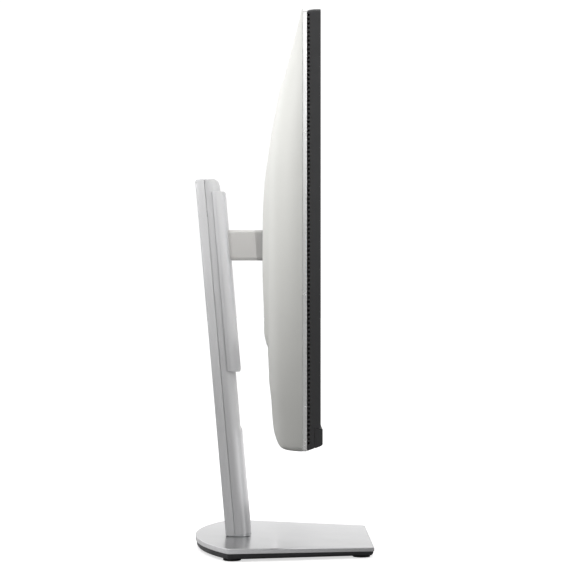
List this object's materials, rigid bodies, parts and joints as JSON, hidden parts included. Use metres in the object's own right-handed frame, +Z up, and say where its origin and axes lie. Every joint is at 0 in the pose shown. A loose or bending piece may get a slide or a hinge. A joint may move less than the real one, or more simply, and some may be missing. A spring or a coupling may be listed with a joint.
{
  "type": "computer monitor",
  "caption": "Desktop monitor with domed silver back, vented black frame, short tilting arm on a leaning height-adjustable column, and a flat tapered base.",
  "frame": {"origin": "on the desk, under the centre of the overall bounding box", "axes": "+X to the right of somebody facing the screen, +Y from the screen to the back, +Z up"},
  "size_m": [0.611, 0.1672, 0.4764],
  "materials": {
    "silver_cover": "satin silver paint on moulded plastic",
    "silver_stand": "satin silver paint",
    "silver_base": "satin silver paint with a bright bevelled edge",
    "arm_metal": "satin die casting",
    "black_plastic": "fine matt texture",
    "key_plastic": "satin",
    "steel": "bright zinc plated",
    "galvanised": "galvanised sheet",
    "spring_steel": "bare spring steel",
    "nylon": "black nylon",
    "acetal": "white acetal",
    "rubber": "matt",
    "lcd_glass": "anti-glare polariser on glass",
    "film": "white optical film",
    "light_guide": "clear acrylic",
    "led": "LED strip",
    "board": "green solder mask",
    "connector": "nickel plated"
  },
  "bodies": {
    "base": {"base_plate": "silver_base", "base_pan": "black_plastic", "foot_rear_left": "rubber", "foot_rear_right": "rubber", "foot_front_left": "rubber", "foot_front_right": "rubber", "swivel_washer": "nylon", "thrust_washer": "nylon"},
    "column": {"column_shell": "silver_stand", "column_rear_cover": "silver_stand", "foot_block": "galvanised", "swivel_spindle": "steel", "swivel_nut": "steel", "guide_rail_left": "steel", "guide_rail_right": "steel", "spring_anchor": "galvanised", "column_screw_left": "steel", "column_screw_right": "steel"},
    "carriage": {"carriage_cover": "silver_stand", "slider_block": "acetal", "lift_spring": "spring_steel", "spring_axle": "steel", "arm_shell": "arm_metal", "arm_screw_upper": "steel", "arm_screw_lower": "steel", "tilt_pin": "steel", "friction_washer_left": "spring_steel", "friction_washer_right": "spring_steel", "tilt_nut": "steel"},
    "head": {"tilt_bracket": "galvanised", "rear_cover": "silver_cover", "recess_plate": "galvanised", "chassis": "galvanised", "front_frame": "black_plastic", "chin_bezel": "black_plastic", "lcd_panel": "lcd_glass", "optical_films": "film", "light_guide_plate": "light_guide", "led_strip": "led", "reflector_sheet": "film", "back_tray": "galvanised", "main_board": "board", "power_board": "board", "panel_driver_board": "board", "key_board": "board", "connector_bay": "black_plastic", "hdmi_socket_1": "connector", "hdmi_socket_2": "connector", "displayport_socket": "connector", "usb_socket": "connector", "audio_socket": "black_plastic", "ac_inlet": "black_plastic", "release_spring": "spring_steel"},
    "release_latch": {"release_latch": "key_plastic"},
    "menu_key_1": {"menu_key_1": "key_plastic"},
    "menu_key_2": {"menu_key_2": "key_plastic"},
    "menu_key_3": {"menu_key_3": "key_plastic"},
    "menu_key_4": {"menu_key_4": "key_plastic"},
    "power_key": {"power_key": "key_plastic"}
  },
  "joints": [
    {"name": "stand_swivel", "type": "hinge", "parent": "base", "child": "column", "pos_m": [0, 0.0415, 0.012], "axis": [0, 0, 1], "range_deg": [-30, 30]},
    {"name": "height_slide", "type": "slide", "parent": "column", "child": "carriage", "axis": [0, 0.086, 0.9963], "range_m": [-0.05, 0.01], "stiffness_N_per_m": 200, "springref_m": 0.271},
    {"name": "screen_tilt", "type": "hinge", "parent": "carriage", "child": "head", "pos_m": [0, 0.024, 0.289], "axis": [-1, 0, 0], "range_deg": [-5, 21], "stiffness_Nm_per_rad": 30, "springref_deg": 3.71},
    {"name": "latch_slide", "type": "slide", "parent": "head", "child": "release_latch", "axis": [0, 0, -1], "range_m": [0, 0.004], "deforming": ["release_spring"]},
    {"name": "menu_key_1_press", "type": "slide", "parent": "head", "child": "menu_key_1", "axis": [0, -1, 0], "range_m": [0, 0.0008]},
    {"name": "menu_key_2_press", "type": "slide", "parent": "head", "child": "menu_key_2", "axis": [0, -1, 0], "range_m": [0, 0.0008]},
    {"name": "menu_key_3_press", "type": "slide", "parent": "head", "child": "menu_key_3", "axis": [0, -1, 0], "range_m": [0, 0.0008]},
    {"name": "menu_key_4_press", "type": "slide", "parent": "head", "child": "menu_key_4", "axis": [0, -1, 0], "range_m": [0, 0.0008]},
    {"name": "power_key_press", "type": "slide", "parent": "head", "child": "power_key", "axis": [0, -1, 0], "range_m": [0, 0.0008]}
  ]
}
